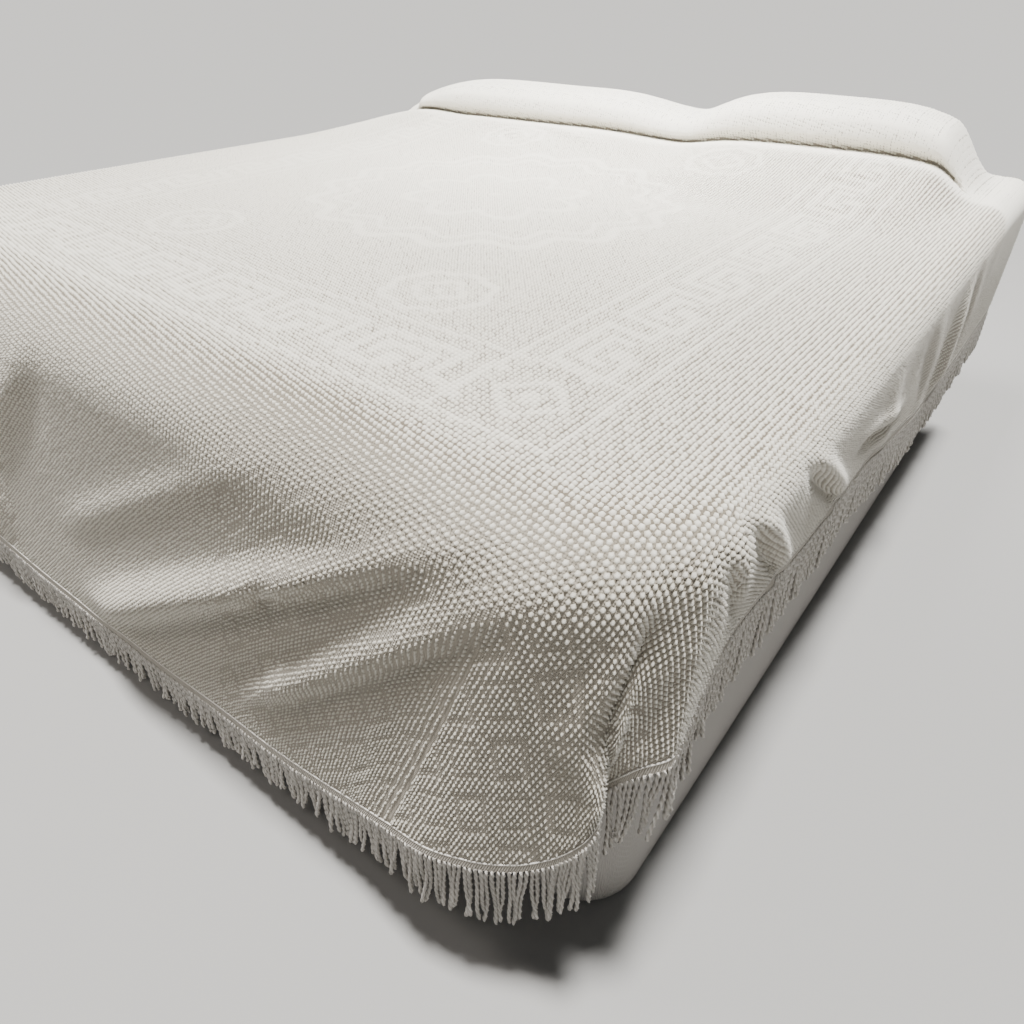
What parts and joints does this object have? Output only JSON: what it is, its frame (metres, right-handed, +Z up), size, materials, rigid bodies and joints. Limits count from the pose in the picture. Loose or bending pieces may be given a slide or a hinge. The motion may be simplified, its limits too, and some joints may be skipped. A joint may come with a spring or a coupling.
{
  "type": "candlewick bedspread on a bed",
  "caption": "Tufted white cotton bedspread with a twisted fringe, draped over a plain bed and tucked under its pillows.",
  "frame": {"origin": "middle of the whole bed's bounding box in plan, at floor level", "axes": "+Z up, +Y from the foot to the head of the bed, +X to the near long side"},
  "size_m": [1.9998, 2.1438, 0.8968],
  "materials": {
    "cloth": "matt",
    "fringe": "matt",
    "mattress": "matt",
    "base": "matt",
    "pillow": "matt"
  },
  "bodies": {
    "root": {"bedspread": "cloth", "fringe_near": "fringe", "fringe_foot": "fringe", "fringe_far": "fringe", "mattress": "mattress", "bed_base": "base", "near_pillow": "pillow", "far_pillow": "pillow"}
  },
  "joints": []
}
